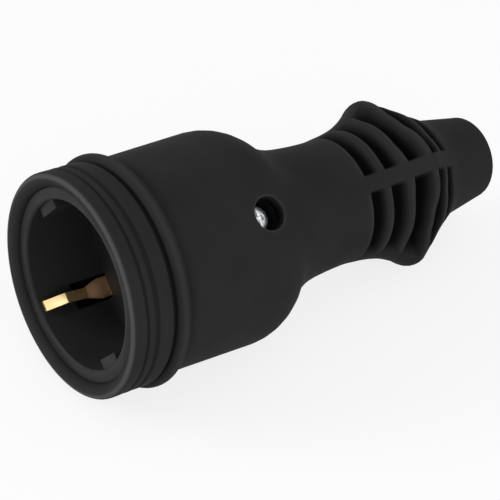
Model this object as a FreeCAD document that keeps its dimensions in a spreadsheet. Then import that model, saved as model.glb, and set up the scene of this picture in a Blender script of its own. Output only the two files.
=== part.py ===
import FreeCAD, Part
import math
import os
import Sketcher
from FreeCAD import Placement, Rotation, Vector

# An inline socket connector for a two-pin mains plug with side earth contacts.
# Millimetres. The X axis runs through the middle of the connector, from the
# centre of the rim face at the origin to the cable end at +X, and +Z is up.
# Every piece is drawn with the earth contacts, the side screw and one pair of
# hood ribs in the XY plane, and the pin holes in the XZ plane. The roll then
# turns them all together, so that the part lies on two of its hood ribs. The
# insert and what it carries sit a few degrees further round than the ribs, and
# the cable yoke on the carrier is turned back, so that its screw meets the hole.

doc = FreeCAD.newDocument("inline_socket")


# Driving dimensions

SIZES = {
    # How the finished part lies
    "roll": 45.0,
    "insert_turn": 3.4,
    # Rubber housing, outside, from the rim to the tail
    "rim_round": 1.2,
    "collar_wall": 3.5,
    "step_groove_depth": 0.55,
    "step_groove_slope": 0.3,
    "first_groove_start": 3.3,
    "first_groove_width": 0.9,
    "second_groove_start": 5.6,
    "second_groove_width": 1.2,
    "bead_groove_start": 10.3,
    "bead_groove_depth": 1.0,
    "bead_start": 11.4,
    "bead_width": 3.2,
    "bead_foot_depth": 0.2,
    "bead_round": 1.614,
    "body_start": 15.4,
    "body_front_depth": 0.75,
    "shoulder_start": 39.8,
    "body_wall": 3.3,
    "shoulder_round": 14.5,
    "shoulder_length": 10.4,
    "shoulder_drop": 4.4,
    "shoulder_foot_length": 11.8,
    "shoulder_foot_radius": 16.2,
    "shoulder_foot_round": 22.0,
    "neck_length": 10.0,
    "neck_radius": 15.5,
    "neck_round": 120.0,
    "hood_length": 22.9,
    "hood_valley_radius": 19.15,
    "hood_valley_round": 73.7,
    "hood_slope_length": 10.5,
    "hood_foot_radius": 13.7,
    "hood_foot_length": 3.6,
    "tail_start_radius": 12.5,
    "hood_foot_round": 11.4,
    "tail_radius": 10.7,
    "tail_round": 1.6,
    "tail_length": 12.7,
    # Ribs of the hood: four lobes that stand off the axis
    "lobe_offset": 9.4,
    "lobe_setback": 4.5,
    "lobe_start_radius": 15.6,
    "lobe_rise_length": 16.3,
    "lobe_crest_start_radius": 21.4,
    "lobe_crest_width": 1.2,
    "lobe_crest_end_radius": 21.3,
    "lobe_round": 31.3,
    "lobe_crest_round": 1.1,
    "lobe_slope_length": 13.4,
    "lobe_end_radius": 12.9,
    "rib_width": 4.4,
    "parting_rib_width": 7.6,
    "slot_setback": 4.0,
    "slot_pitch": 5.95,
    "slot_width": 3.5,
    "rear_slot_setback": 21.2,
    "rear_slot_pitch": 5.6,
    "rear_slot_width": 3.3,
    "slot_floor_one": 12.1,
    "slot_floor_two": 12.3,
    "slot_floor_three": 12.8,
    "slot_floor_four": 13.6,
    "slot_floor_five": 12.4,
    "slot_back_one": 15.4,
    "slot_back_two": 16.2,
    "slot_back_three": 17.6,
    "slot_back_four": 17.8,
    "slot_back_five": 14.9,
    "slot_floor_round": 6.0,
    # Rubber housing, inside
    "mouth_lip": 0.7,
    "cavity_end": 45.0,
    "shoulder_wall_x": 48.5,
    "shoulder_wall_drop": 2.4,
    "throat_x": 54.0,
    "throat_drop": 6.2,
    "neck_cavity_radius": 12.2,
    "neck_cavity_length": 6.0,
    "cable_bore_taper": 18.0,
    "cable_bore_radius": 6.5,
    # Plastic insert
    "fit": 0.1,
    "insert_front": 1.8,
    "well_radius": 19.5,
    "insert_wall": 2.8,
    "well_depth": 17.5,
    "well_edge": 0.4,
    "floor_thickness": 3.0,
    "lock_start": 12.0,
    "lock_width": 2.0,
    "lock_height": 0.9,
    "skirt_wall": 2.0,
    "skirt_length": 7.7,
    "pin_pitch": 19.0,
    "pin_hole_radius": 2.75,
    "sleeve_bore": 4.1,
    "sleeve_radius": 5.0,
    "sleeve_length": 6.2,
    "key_setback": 1.2,
    "key_width": 7.0,
    "key_height": 2.45,
    "earth_slot_width": 6.2,
    "earth_slot_setback": 9.2,
    "earth_slot_depth": 2.0,
    "earth_slot_floor": 2.9,
    "post_radius": 2.6,
    "post_hole": 1.25,
    # Contact carrier
    "register_length": 1.5,
    "register_fit": 0.15,
    "carrier_thickness": 3.5,
    "sleeve_clearance": 0.2,
    "yoke_end": 49.0,
    "yoke_half_width": 8.7,
    "yoke_top": 14.0,
    "yoke_cheek_foot": 4.8,
    "yoke_inner": 6.8,
    "yoke_under": 9.0,
    "saddle_start": 39.0,
    "saddle_ridge": 0.8,
    "saddle_ridge_width": 1.0,
    "saddle_ridge_first": 41.0,
    "saddle_ridge_step": 5.0,
    "side_screw_x": 40.0,
    "tower_radius": 5.8,
    "tower_gap": 0.9,
    "access_radius": 3.875,
    "screw_seat_depth": 4.6,
    "screw_clearance": 0.15,
    # Brass pin contacts and their steel springs
    "contact_front": 23.3,
    "contact_bore": 2.35,
    "contact_wall": 0.75,
    "contact_slit": 0.8,
    "contact_slit_length": 6.0,
    "tongue_thickness": 1.4,
    "tongue_width": 7.2,
    "tongue_foot": 3.6,
    "tongue_tip": 18.9,
    "terminal_place": 15.5,
    "spring_front": 24.6,
    "spring_width": 3.0,
    "spring_wall": 0.5,
    "spring_gap": 1.6,
    # Earth strip
    "strip_thickness": 0.8,
    "strip_width": 4.9,
    "strip_gap": 0.3,
    "arm_width": 2.4,
    "arm_shoulder": 14.6,
    "arm_crest_x": 7.8,
    "arm_crest_reach": 3.0,
    "arm_tip_x": 3.0,
    "arm_tip_reach": 0.9,
    "arm_shoulder_round": 1.25,
    "tab_place": 9.0,
    "tab_tip": 18.0,
    "earth_terminal_place": 13.8,
    # Fasteners
    "terminal_thread": 1.75,
    "terminal_head": 3.0,
    "terminal_head_height": 2.2,
    "terminal_length": 6.0,
    "washer_side": 6.4,
    "washer_thickness": 1.0,
    "nut_side": 7.0,
    "nut_thickness": 2.8,
    "carrier_thread": 1.25,
    "carrier_hole": 1.5,
    "carrier_head": 2.8,
    "carrier_head_height": 1.9,
    "carrier_screw_length": 9.0,
    "clamp_thread": 2.0,
    "clamp_head": 3.15,
    "clamp_head_height": 2.1,
    "clamp_nut_place": 10.0,
    "plate_place": 6.4,
    "plate_thickness": 1.2,
    "plate_length": 11.0,
    "plate_lip": 1.4,
    "driver_slot": 0.9,
    "driver_depth": 1.1,
    "cross_slot": 1.0,
    "cross_reach": 1.9,
    "crown": 0.5,
    # How far a cut is drawn past the surface that it opens
    "past": 0.5,
}

sheet = doc.addObject("Spreadsheet::Sheet", "sizes")
for row, (word, number) in enumerate(SIZES.items(), start=1):
    sheet.set(f"A{row}", word)
    sheet.set(f"B{row}", str(number))
    sheet.setAlias(f"B{row}", word)
doc.recompute()


class Size:
    """A length together with the expression that gives it from the sheet."""

    def __init__(self, value, text):
        self.value = value
        self.text = text

    def joined(self, sign, other, value):
        text = other.text if isinstance(other, Size) else str(other)
        return Size(value, f"({self.text} {sign} {text})")

    def __add__(self, other):
        return self.joined("+", other, self.value + number_of(other))

    def __sub__(self, other):
        return self.joined("-", other, self.value - number_of(other))

    def __mul__(self, other):
        return self.joined("*", other, self.value * number_of(other))

    def __truediv__(self, other):
        return self.joined("/", other, self.value / number_of(other))

    def __neg__(self):
        return Size(-self.value, f"(0 - {self.text})")


def number_of(length):
    return length.value if isinstance(length, Size) else float(length)


def text_of(length):
    return length.text if isinstance(length, Size) else str(length)


def cell(word):
    return Size(SIZES[word], f"sizes.{word}")


# Places along the axis and across it that several pieces share

insert_front = cell("insert_front")
floor_front = insert_front + cell("well_depth")
floor_back = floor_front + cell("floor_thickness")
skirt_end = floor_back + cell("skirt_length")
carrier_back = skirt_end + cell("carrier_thickness")
register_front = skirt_end - cell("register_length")
insert_radius = cell("well_radius") + cell("insert_wall")
cavity_radius = insert_radius + cell("fit")
collar_radius = cavity_radius + cell("collar_wall")
body_radius = cavity_radius + cell("body_wall")
shoulder_end = cell("shoulder_start") + cell("shoulder_length")
shoulder_foot = shoulder_end + cell("shoulder_foot_length")
neck_x = shoulder_foot + cell("neck_length")
crest_x = neck_x + cell("hood_length")
hood_foot = crest_x + cell("hood_slope_length")
tail_start = hood_foot + cell("hood_foot_length")
whole_length = tail_start + cell("tail_length")
neck_cavity_end = shoulder_foot + cell("neck_cavity_length")
cable_bore_start = neck_cavity_end + cell("cable_bore_taper")
lobe_start = neck_x + cell("lobe_setback")
lobe_crest_start = lobe_start + cell("lobe_rise_length")
lobe_crest_end = lobe_crest_start + cell("lobe_crest_width")
lobe_end = lobe_crest_end + cell("lobe_slope_length")
lock_radius = insert_radius + cell("lock_height")
skirt_radius = insert_radius - cell("skirt_wall")
post_place = (skirt_radius - cell("post_radius")) * 0.7071
pin_place = cell("pin_pitch") / 2
contact_radius = cell("contact_bore") + cell("contact_wall")
strip_back = floor_back + cell("strip_thickness")
lobe_axis = cell("lobe_offset")
tongue_back = carrier_back + cell("tongue_thickness")
earth_tab_back = carrier_back + cell("strip_thickness")
seat_radius = insert_radius - cell("screw_seat_depth")
screw_x = cell("side_screw_x")
past = cell("past")


# Sketches

ROUND_CW = -1
ROUND_CCW = 1


def arc_between(start, end, radius, way):
    """The short arc from start to end, counter-clockwise or clockwise."""
    (x0, y0), (x1, y1) = start, end
    half = math.hypot(x1 - x0, y1 - y0) / 2
    rise = math.sqrt(max(radius * radius - half * half, 0.0)) * way
    centre = Vector((x0 + x1) / 2 - rise * (y1 - y0) / (2 * half),
                    (y0 + y1) / 2 + rise * (x1 - x0) / (2 * half), 0)
    first, last = (start, end) if way == ROUND_CCW else (end, start)
    angles = [math.atan2(y - centre.y, x - centre.x) for x, y in (first, last)]
    return Part.ArcOfCircle(Part.Circle(centre, Vector(0, 0, 1), radius), *angles)


def hold_point(sketch, geometry, end, corner):
    """Tie a point to the sheet by its two distances from the sketch's origin."""
    for kind, axis, length in (("DistanceX", -2, corner[0]), ("DistanceY", -1, corner[1])):
        if isinstance(length, Size):
            index = sketch.addConstraint(
                Sketcher.Constraint(kind, -1, 1, geometry, end, length.value))
            sketch.setExpression(f"Constraints[{index}]", length.text)
        elif length == 0:
            sketch.addConstraint(Sketcher.Constraint("PointOnObject", geometry, end, axis))
        else:
            sketch.addConstraint(Sketcher.Constraint(kind, -1, 1, geometry, end, length))


def draw_outline(sketch, corners):
    """A closed outline. A corner is (x, y), or (x, y, radius, way) after an arc."""
    ends = []
    for before, corner in zip([corners[-1]] + corners[:-1], corners):
        start = (number_of(before[0]), number_of(before[1]))
        end = (number_of(corner[0]), number_of(corner[1]))
        if len(corner) == 2:
            edge = Part.LineSegment(Vector(*start, 0), Vector(*end, 0))
            geometry = sketch.addGeometry(edge)
            ends.append((geometry, 1, 2))
        else:
            radius, way = corner[2], corner[3]
            geometry = sketch.addGeometry(arc_between(start, end, radius.value, way))
            ends.append((geometry, 1, 2) if way == ROUND_CCW else (geometry, 2, 1))
    for index, (geometry, first, last) in enumerate(ends):
        after, after_first, _ = ends[(index + 1) % len(ends)]
        sketch.addConstraint(
            Sketcher.Constraint("Coincident", geometry, last, after, after_first))
        hold_point(sketch, geometry, last, corners[index])
        if len(corners[index]) == 4:
            radius = corners[index][2]
            rise = number_of(corners[index][1]) - number_of(corners[index - 1][1])
            if abs(abs(rise) - 2 * radius.value) < 1e-9:
                # A half circle is held by its centre on the vertical axis
                sketch.addConstraint(Sketcher.Constraint("PointOnObject", geometry, 3, -2))
                continue
            held = sketch.addConstraint(
                Sketcher.Constraint("Radius", geometry, radius.value))
            sketch.setExpression(f"Constraints[{held}]", radius.text)


def draw_circle(sketch, x, y, radius):
    centre = Vector(number_of(x), number_of(y), 0)
    geometry = sketch.addGeometry(Part.Circle(centre, Vector(0, 0, 1), radius.value))
    hold_point(sketch, geometry, 3, (x, y))
    held = sketch.addConstraint(Sketcher.Constraint("Radius", geometry, radius.value))
    sketch.setExpression(f"Constraints[{held}]", radius.text)


def rectangle(x0, x1, y0, y1):
    return [(x0, y0), (x1, y0), (x1, y1), (x0, y1)]


# The sketch axis that lies along the connector, and so the one a sketch turns about
LONG_AXIS = {"YZ_Plane": Vector(0, 0, 1), "XZ_Plane": Vector(1, 0, 0)}


def sketch_on(body, plane, name, outlines=(), circles=(), offset=None, turned_by=None):
    """A sketch on an origin plane, moved along its normal and turned about the X axis."""
    origin_plane = next(item for item in body.Origin.OriginFeatures if item.Role == plane)
    sketch = body.newObject("Sketcher::SketchObject", name)
    sketch.AttachmentSupport = [(origin_plane, "")]
    sketch.MapMode = "FlatFace"
    if turned_by is not None:
        turned = Rotation(LONG_AXIS[plane], turned_by.value)
        sketch.AttachmentOffset = Placement(Vector(0, 0, 0), turned)
        sketch.setExpression("AttachmentOffset.Rotation.Angle", f"{turned_by.text} * 1 deg")
    if offset is not None and turned_by is not None and plane == "XZ_Plane":
        angle = f"({turned_by.text} * 1 deg)"
        sketch.setExpression("AttachmentOffset.Base.y", f"0 - {text_of(offset)} * sin{angle}")
        sketch.setExpression("AttachmentOffset.Base.z", f"{text_of(offset)} * cos{angle}")
    elif offset is not None:
        sketch.setExpression("AttachmentOffset.Base.z", text_of(offset))
    for corners in outlines:
        draw_outline(sketch, corners)
    for circle in circles:
        draw_circle(sketch, *circle)
    return sketch


# Features

def new_body(label):
    body = doc.addObject("PartDesign::Body", label)
    body.Label = label
    return body


def finish_feature(body, feature, before, removes):
    """Recompute and see that the feature added or took away material."""
    body.Tip = feature
    doc.recompute()
    after = body.Shape.Volume
    changed = before - after if removes else after - before
    if changed < 1e-3:
        raise RuntimeError(f"{feature.Name} changed nothing in {body.Label}")


def volume_of(body):
    return body.Shape.Volume if body.Tip is not None else 0.0


def turn(body, name, corners, removes=False):
    """Turn an outline of (x, radius) corners about the X axis."""
    before = volume_of(body)
    sketch = sketch_on(body, "XY_Plane", f"{name}_outline", [corners])
    kind = "PartDesign::Groove" if removes else "PartDesign::Revolution"
    feature = body.newObject(kind, name)
    feature.Profile = sketch
    feature.ReferenceAxis = (sketch, ["H_Axis"])
    feature.Angle = 360.0
    finish_feature(body, feature, before, removes)
    return feature


def push(body, name, plane, length, outlines=(), circles=(), offset=None,
         both=False, removes=False, turned_by=None):
    """Pad or pocket along the plane's own normal, or evenly both ways."""
    before = volume_of(body)
    sketch = sketch_on(body, plane, f"{name}_outline", outlines, circles, offset, turned_by)
    feature = body.newObject("PartDesign::Pocket" if removes else "PartDesign::Pad", name)
    feature.Profile = sketch
    feature.Type = "Length"
    feature.SideType = "Symmetric" if both else "One side"
    feature.Reversed = removes and not both
    if isinstance(length, Size):
        feature.setExpression("Length", length.text)
    else:
        feature.Length = length
    finish_feature(body, feature, before, removes)
    return feature


def seat(piece, x=0, y=0, z=0, turned=None, roll=cell("roll")):
    """Put a piece at its place in the drawn frame, and roll it with the rest."""
    rolled = Rotation(Vector(1, 0, 0), -roll.value)
    place = rolled.multVec(Vector(number_of(x), number_of(y), number_of(z)))
    rotation = rolled if turned is None else rolled.multiply(turned)
    piece.Placement = Placement(place, rotation)
    cosine, sine = f"cos({roll.text} * 1 deg)", f"sin({roll.text} * 1 deg)"
    piece.setExpression("Placement.Base.x", text_of(x))
    piece.setExpression("Placement.Base.y",
                        f"{text_of(y)} * {cosine} + {text_of(z)} * {sine}")
    piece.setExpression("Placement.Base.z",
                        f"{text_of(z)} * {cosine} - {text_of(y)} * {sine}")
    nodes.append(piece)


nodes = []
insert_roll = cell("roll") + cell("insert_turn")
HALF_TURN = Rotation(Vector(1, 0, 0), 180)
HEAD_OUT = Rotation(Vector(0, 0, 1), -90)


# Rubber housing: sleeve, neck, slotted strain-relief hood and tail in one moulding

def housing_outline():
    collar = collar_radius
    groove = collar - cell("step_groove_depth")
    bead_groove = collar - cell("bead_groove_depth")
    bead_foot = collar - cell("bead_foot_depth")
    slope = cell("step_groove_slope")
    first, second = cell("first_groove_start"), cell("second_groove_start")
    first_end = first + cell("first_groove_width")
    second_end = second + cell("second_groove_width")
    bead_end = cell("bead_start") + cell("bead_width")
    lock_start, lock_end = cell("lock_start"), cell("lock_start") + cell("lock_width")
    lock_wall = lock_radius + cell("fit")
    cavity = cavity_radius
    fit = cell("fit")
    bore = cell("cable_bore_radius")
    return [
        (0, cavity + cell("mouth_lip")),
        (0, collar - cell("rim_round")),
        (cell("rim_round"), collar, cell("rim_round"), ROUND_CW),
        (first, collar),
        (first + slope, groove),
        (first_end - slope, groove),
        (first_end, collar),
        (second, collar),
        (second + slope, groove),
        (second_end - slope, groove),
        (second_end, collar),
        (cell("bead_groove_start"), collar),
        (cell("bead_groove_start") + slope, bead_groove),
        (cell("bead_start"), bead_groove),
        (cell("bead_start"), bead_foot),
        (bead_end, bead_foot, cell("bead_round"), ROUND_CW),
        (cell("body_start"), collar - cell("body_front_depth")),
        (cell("shoulder_start"), body_radius),
        (shoulder_end, body_radius - cell("shoulder_drop"),
         cell("shoulder_round"), ROUND_CW),
        (shoulder_foot, cell("shoulder_foot_radius"),
         cell("shoulder_foot_round"), ROUND_CCW),
        (neck_x, cell("neck_radius"), cell("neck_round"), ROUND_CCW),
        (crest_x, cell("hood_valley_radius"), cell("hood_valley_round"), ROUND_CCW),
        (hood_foot, cell("hood_foot_radius")),
        (tail_start, cell("tail_start_radius"), cell("hood_foot_round"), ROUND_CCW),
        (whole_length - cell("tail_round"), cell("tail_radius")),
        (whole_length, cell("tail_radius") - cell("tail_round"),
         cell("tail_round"), ROUND_CW),
        (whole_length, bore),
        (cable_bore_start, bore),
        (neck_cavity_end, cell("neck_cavity_radius")),
        (shoulder_foot, cell("neck_cavity_radius")),
        (cell("throat_x"), cavity - cell("throat_drop")),
        (cell("shoulder_wall_x"), cavity - cell("shoulder_wall_drop")),
        (cell("cavity_end"), cavity),
        (lock_end + fit, cavity),
        (lock_end + fit, lock_wall),
        (lock_start - fit, lock_wall),
        (lock_start - fit, cavity),
        (insert_front, cavity),
    ]


def lobe_outline():
    """One hood rib lobe, turned about its own axis at lobe_offset from the middle."""
    return [
        (lobe_start, lobe_axis),
        (lobe_start, cell("lobe_start_radius")),
        (lobe_crest_start, cell("lobe_crest_start_radius"), cell("lobe_round"), ROUND_CCW),
        (lobe_crest_end, cell("lobe_crest_end_radius"), cell("lobe_crest_round"), ROUND_CW),
        (lobe_end, cell("lobe_end_radius")),
        (lobe_end, lobe_axis),
    ]


# Each slot ring, front to back: its place in its group and the group's name.
# Three wide slots run up to the crest, and two narrow ones follow behind it.
# They stop at four ribs. The pair at the mould's parting line is the wider one.

SLOT_RINGS = (("one", 0, ""), ("two", 1, ""), ("three", 2, ""),
              ("four", 0, "rear_"), ("five", 1, "rear_"))


def slot_outline(word, index, group):
    """A hood slot: steep in front, its floor rising to just under the next ring."""
    start = neck_x + cell(f"{group}slot_setback") + cell(f"{group}slot_pitch") * index
    width = cell(f"{group}slot_width")
    floor, back = cell(f"slot_floor_{word}"), cell(f"slot_back_{word}")
    outside = body_radius
    return [
        (start, outside),
        (start, floor),
        (start + width, back, cell("slot_floor_round"), ROUND_CCW),
        (start + width, outside),
    ]


def make_housing():
    sleeve = new_body("housing_sleeve")
    turn(sleeve, "sleeve", housing_outline())
    before = volume_of(sleeve)
    sketch = sketch_on(sleeve, "XY_Plane", "lobe_outline", [lobe_outline()])
    front, back = (Vector(x.value, lobe_axis.value, 0) for x in (lobe_start, lobe_end))
    middle = sketch.addGeometry(Part.LineSegment(front, back), True)
    hold_point(sketch, middle, 1, (lobe_start, lobe_axis))
    hold_point(sketch, middle, 2, (lobe_end, lobe_axis))
    lobe = sleeve.newObject("PartDesign::Revolution", "lobe")
    lobe.Profile = sketch
    lobe.ReferenceAxis = (sketch, ["Axis0"])
    lobe.Angle = 360.0
    finish_feature(sleeve, lobe, before, False)
    before = volume_of(sleeve)
    lobes = sleeve.newObject("PartDesign::PolarPattern", "lobes")
    lobes.Originals = [lobe]
    lobes.Axis = (next(item for item in sleeve.Origin.OriginFeatures
                       if item.Role == "X_Axis"), [""])
    lobes.Angle = 360.0
    lobes.Occurrences = 4
    finish_feature(sleeve, lobes, before, False)
    before = volume_of(sleeve)
    bore_corners = [
        (neck_cavity_end, 0),
        (neck_cavity_end, cell("neck_cavity_radius")),
        (cable_bore_start, cell("cable_bore_radius")),
        (whole_length, cell("cable_bore_radius")),
        (whole_length, 0),
    ]
    turn(sleeve, "bore", bore_corners, removes=True)
    slot_rings = doc.addObject("Part::MultiFuse", "slot_rings")
    rings = []
    for word, index, group in SLOT_RINGS:
        ring = new_body(f"slot_ring_{word}")
        turn(ring, f"ring_{word}", slot_outline(word, index, group))
        rings.append(ring)
    slot_rings.Shapes = rings
    ribs = []
    for word, width, height in (("wide", cell("parting_rib_width"), body_radius * 2),
                                ("slim", body_radius * 2, cell("rib_width"))):
        rib = doc.addObject("Part::Box", f"rib_{word}")
        rib.setExpression("Length", (whole_length - neck_x).text)
        rib.setExpression("Width", width.text)
        rib.setExpression("Height", height.text)
        rib.setExpression("Placement.Base.x", neck_x.text)
        rib.setExpression("Placement.Base.y", (-width / 2).text)
        rib.setExpression("Placement.Base.z", (-height / 2).text)
        ribs.append(rib)
    cross = doc.addObject("Part::MultiFuse", "rib_cross")
    cross.Shapes = ribs
    slots = doc.addObject("Part::Cut", "hood_slots")
    slots.Base = slot_rings
    slots.Tool = cross
    hole = doc.addObject("Part::Cylinder", "access_hole")
    hole.setExpression("Radius", cell("access_radius").text)
    hole.setExpression("Height", (body_radius + past).text)
    hole.Placement = Placement(Vector(screw_x.value, 0, 0), Rotation(Vector(1, 0, 0), 90))
    hole.setExpression("Placement.Base.x", screw_x.text)
    openings = doc.addObject("Part::MultiFuse", "housing_openings")
    openings.Shapes = [slots, hole]
    housing = doc.addObject("Part::Cut", "rubber_housing")
    housing.Base = sleeve
    housing.Tool = openings
    housing.Label = "rubber_housing"
    doc.recompute()
    if housing.Shape.Volume >= sleeve.Shape.Volume - 1:
        raise RuntimeError("the hood slots cut nothing")
    seat(housing)


# Plastic insert: plug well, keys, pin holes and the skirt behind the floor

def make_insert():
    insert = new_body("socket_insert")
    edge = cell("well_edge")
    turn(insert, "cup", [
        (insert_front, cell("well_radius") + edge),
        (insert_front, insert_radius),
        (cell("lock_start"), insert_radius),
        (cell("lock_start"), lock_radius),
        (cell("lock_start") + cell("lock_width"), lock_radius),
        (cell("lock_start") + cell("lock_width"), insert_radius),
        (skirt_end, insert_radius),
        (skirt_end, skirt_radius),
        (floor_back, skirt_radius),
        (floor_back, 0),
        (floor_front, 0),
        (floor_front, cell("well_radius")),
        (insert_front + edge, cell("well_radius")),
    ])
    half_key = cell("key_width") / 2
    key_top = cell("well_radius") - cell("key_height")
    key_foot = cell("well_radius") + edge
    key_front = insert_front + cell("key_setback")
    keys = [rectangle(-half_key, half_key, key_top, key_foot),
            rectangle(-half_key, half_key, -key_foot, -key_top)]
    push(insert, "keys", "YZ_Plane", floor_front + edge - key_front, keys, offset=key_front)
    posts = [(post_place, post_place, cell("post_radius")),
             (-post_place, -post_place, cell("post_radius"))]
    push(insert, "posts", "YZ_Plane", register_front - floor_back + edge,
         circles=posts, offset=floor_back - edge)
    sleeves = [(0, pin_place, cell("sleeve_radius")), (0, -pin_place, cell("sleeve_radius"))]
    push(insert, "sleeves", "YZ_Plane", cell("sleeve_length") + edge,
         circles=sleeves, offset=floor_back - edge)
    hollows = [(0, pin_place, cell("sleeve_bore")), (0, -pin_place, cell("sleeve_bore"))]
    push(insert, "sleeve_hollows", "YZ_Plane", cell("skirt_length"), circles=hollows,
         offset=floor_back, removes=True)
    pins = [(0, pin_place, cell("pin_hole_radius")), (0, -pin_place, cell("pin_hole_radius"))]
    push(insert, "pin_holes", "YZ_Plane", cell("floor_thickness") * 2, circles=pins,
         offset=floor_front - cell("floor_thickness") / 2, removes=True)
    screw_holes = [(post_place, post_place, cell("post_hole")),
                   (-post_place, -post_place, cell("post_hole"))]
    push(insert, "post_holes", "YZ_Plane", cell("skirt_length") * 2, circles=screw_holes,
         offset=floor_back, removes=True)
    half_slot = cell("earth_slot_width") / 2
    slot_top = cell("well_radius") - cell("earth_slot_floor")
    slot_foot = cell("well_radius") + cell("earth_slot_depth")
    slot_front = insert_front + cell("earth_slot_setback")
    slots = [rectangle(slot_top, slot_foot, -half_slot, half_slot),
             rectangle(-slot_foot, -slot_top, -half_slot, half_slot)]
    push(insert, "earth_slots", "YZ_Plane", floor_back - slot_front, slots,
         offset=slot_front, removes=True)
    seat(insert, roll=insert_roll)


# Contact carrier: the rear block with its terminals' seats and the cable yoke

def make_carrier():
    carrier = new_body("contact_carrier")
    register = skirt_radius - cell("register_fit")
    turn(carrier, "plate", [
        (register_front, 0),
        (register_front, register),
        (skirt_end, register),
        (skirt_end, insert_radius),
        (carrier_back, insert_radius),
        (carrier_back, 0),
    ])
    half, inner = cell("yoke_half_width"), cell("yoke_inner")
    top, under, foot = cell("yoke_top"), cell("yoke_under"), cell("yoke_cheek_foot")
    bridge = [(-top, -half), (-foot, -half), (-foot, -inner), (-under, -inner),
              (-under, inner), (-foot, inner), (-foot, half), (-top, half)]
    sink = cell("register_length")
    turn_back = cell("insert_turn")
    push(carrier, "bridge", "YZ_Plane", cell("yoke_end") - carrier_back + sink, [bridge],
         offset=carrier_back - sink, turned_by=turn_back)
    saddle = [(-under, -half), (0, -half), (0, half, half, ROUND_CCW), (-under, half),
              (-under, inner), (0, inner), (0, -inner, inner, ROUND_CW), (-under, -inner)]
    push(carrier, "saddle", "YZ_Plane", cell("yoke_end") - cell("saddle_start"), [saddle],
         offset=cell("saddle_start"), turned_by=turn_back)
    ridge = inner - cell("saddle_ridge")
    bar = [(0, -half), (0, half, half, ROUND_CCW), (0, ridge), (0, -ridge, ridge, ROUND_CW)]
    for index in range(2):
        push(carrier, f"ridge_{index}", "YZ_Plane", cell("saddle_ridge_width"), [bar],
             offset=cell("saddle_ridge_first") + cell("saddle_ridge_step") * index,
             turned_by=turn_back)
    tower_top = insert_radius - cell("tower_gap")
    push(carrier, "tower", "XZ_Plane", tower_top - under, offset=under,
         circles=[(screw_x, 0, cell("tower_radius"))], turned_by=turn_back)
    push(carrier, "head_recess", "XZ_Plane", insert_radius, offset=seat_radius,
         circles=[(screw_x, 0, cell("access_radius"))], removes=True, turned_by=turn_back)
    push(carrier, "screw_way", "XZ_Plane", insert_radius, removes=True, turned_by=turn_back,
         circles=[(screw_x, 0, cell("clamp_thread") + cell("screw_clearance"))])
    half_nut = cell("nut_side") / 2 + cell("fit")
    pocket = rectangle(screw_x - half_nut, screw_x + half_nut, -half_nut, half + past)
    push(carrier, "nut_slot", "XZ_Plane", cell("nut_thickness") + cell("fit"), [pocket],
         offset=cell("clamp_nut_place"), removes=True, turned_by=turn_back)
    through = carrier_back - register_front
    sleeve_way = contact_radius + cell("sleeve_clearance")
    push(carrier, "contact_ways", "YZ_Plane", through, offset=register_front, removes=True,
         circles=[(0, pin_place, sleeve_way), (0, -pin_place, sleeve_way)])
    screw_way = cell("terminal_thread") + cell("screw_clearance")
    place = cell("terminal_place")
    push(carrier, "terminal_ways", "YZ_Plane", through, offset=register_front, removes=True,
         circles=[(0, place, screw_way), (0, -place, screw_way),
                  (cell("earth_terminal_place"), 0, screw_way)])
    earth = cell("earth_terminal_place")
    push(carrier, "earth_nut_seat", "YZ_Plane", through,
         [rectangle(earth - half_nut, earth + half_nut, -half_nut, half_nut)],
         offset=carrier_back - cell("nut_thickness"), removes=True)
    tab_low = cell("tab_place") - cell("fit")
    tab_high = cell("tab_place") + cell("strip_thickness") + cell("fit")
    half_strip = cell("strip_width") / 2 + cell("fit")
    push(carrier, "tab_way", "YZ_Plane", through,
         [rectangle(tab_low, tab_high, -half_strip, half_strip)],
         offset=register_front, removes=True)
    push(carrier, "screw_holes", "YZ_Plane", through, offset=register_front, removes=True,
         circles=[(post_place, post_place, cell("carrier_hole")),
                  (-post_place, -post_place, cell("carrier_hole"))])
    seat(carrier, roll=insert_roll)


# Brass contacts with their steel springs

def make_contact(label, turned):
    contact = new_body(label)
    half = cell("tongue_width") / 2
    foot, tip = pin_place - cell("tongue_foot"), cell("tongue_tip")
    push(contact, "tongue", "YZ_Plane", cell("tongue_thickness"),
         [rectangle(-half, half, foot, tip)], offset=carrier_back)
    push(contact, "sleeve", "YZ_Plane", tongue_back - cell("contact_front"),
         circles=[(0, pin_place, contact_radius)], offset=cell("contact_front"))
    push(contact, "bore", "YZ_Plane", tongue_back,
         circles=[(0, pin_place, cell("contact_bore"))], removes=True)
    slit = cell("contact_slit") / 2
    push(contact, "slit", "YZ_Plane", cell("contact_slit_length"),
         [rectangle(-slit, slit, pin_place - contact_radius - past,
                    pin_place + contact_radius + past)],
         offset=cell("contact_front"), removes=True)
    push(contact, "thread", "YZ_Plane", cell("tongue_thickness") * 2,
         circles=[(0, cell("terminal_place"), cell("terminal_thread"))],
         offset=carrier_back, removes=True)
    seat(contact, turned=turned, roll=insert_roll)


def make_spring(label, turned):
    spring = new_body(label)
    inner = contact_radius + cell("fit") / 2
    outer = inner + cell("spring_wall")
    push(spring, "ring", "YZ_Plane", cell("spring_width"), offset=cell("spring_front"),
         circles=[(0, pin_place, outer), (0, pin_place, inner)])
    gap = cell("spring_gap") / 2
    push(spring, "gap", "YZ_Plane", cell("spring_width"),
         [rectangle(-gap, gap, pin_place, pin_place + outer + past)],
         offset=cell("spring_front"), removes=True)
    seat(spring, turned=turned, roll=insert_roll)


# Earth strip: base behind the well floor, two spring arms and the terminal tab

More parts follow.
